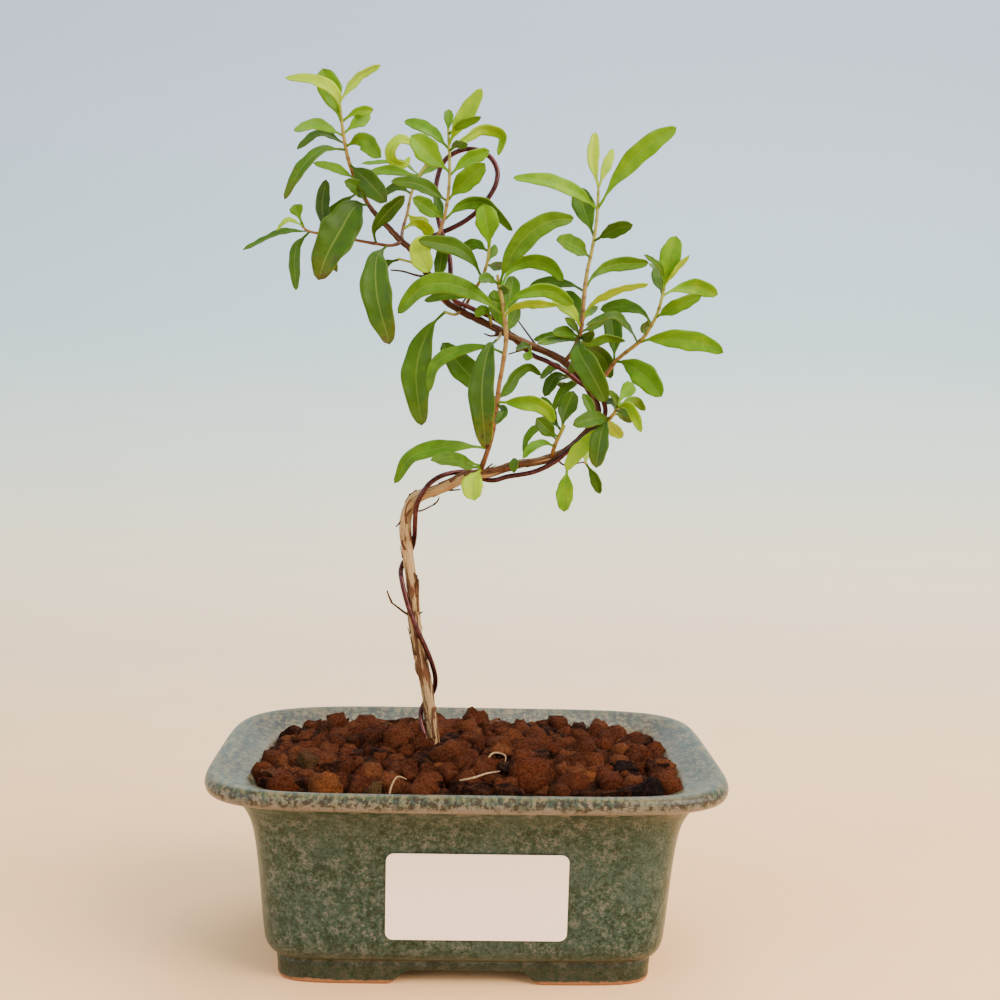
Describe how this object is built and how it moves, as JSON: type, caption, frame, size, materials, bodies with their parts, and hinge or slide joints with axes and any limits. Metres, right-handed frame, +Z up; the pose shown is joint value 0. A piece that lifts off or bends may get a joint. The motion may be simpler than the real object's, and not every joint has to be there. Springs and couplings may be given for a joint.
{
  "type": "pomegranate bonsai",
  "caption": "Young pomegranate bonsai with a bent, wired trunk and leafy shoots, growing in clay granules in a low glazed oblong pot with a blank label.",
  "frame": {"origin": "middle of the pot's plan, on the surface it stands on", "axes": "+X along the pot's length to the right, +Y to the back, +Z up; the label faces -Y"},
  "size_m": [0.147, 0.11, 0.261],
  "materials": {
    "glaze": "mottled green-grey glaze, unglazed terracotta under the feet",
    "screen_plastic": "matt black",
    "clay_granules": "matt red-brown baked clay granules",
    "label_paper": "smooth white sticker, blank",
    "bark": "peeling brown bark over pale wood",
    "anodised_wire": "red-brown anodised, satin",
    "leaf": "fresh green leaf, slightly glossy",
    "root_hair": "pale dry root",
    "dry_litter": "dry brown leaf and bark"
  },
  "bodies": {
    "root": {"pot": "glaze", "drain_screen_left": "screen_plastic", "drain_screen_right": "screen_plastic", "soil": "clay_granules", "label": "label_paper", "trunk": "bark", "training_wire": "anodised_wire", "shoot_top_left": "leaf", "twig_left": "leaf", "leaf_upper_left_back": "leaf", "shoot_upper_back": "leaf", "shoot_upper_middle": "leaf", "shoot_upper_centre": "leaf", "shoot_centre": "leaf", "leaf_centre_hanging": "leaf", "leaf_left_hanging": "leaf", "leaf_small_top": "leaf", "leaf_pair_middle": "leaf", "shoot_inner": "leaf", "shoot_right": "leaf", "shoot_lower_right": "leaf", "shoot_lower_middle": "leaf", "shoot_under_branch": "leaf", "leaf_clasping_branch": "leaf", "leaves_under_bend": "leaf", "leaf_under_bend_right": "leaf", "root_hair_front": "root_hair", "root_hair_middle": "root_hair", "root_curl": "root_hair", "bark_chip_left": "dry_litter", "bark_chip_middle": "dry_litter", "bark_chip_right": "dry_litter", "dry_leaf": "dry_litter"}
  },
  "joints": []
}
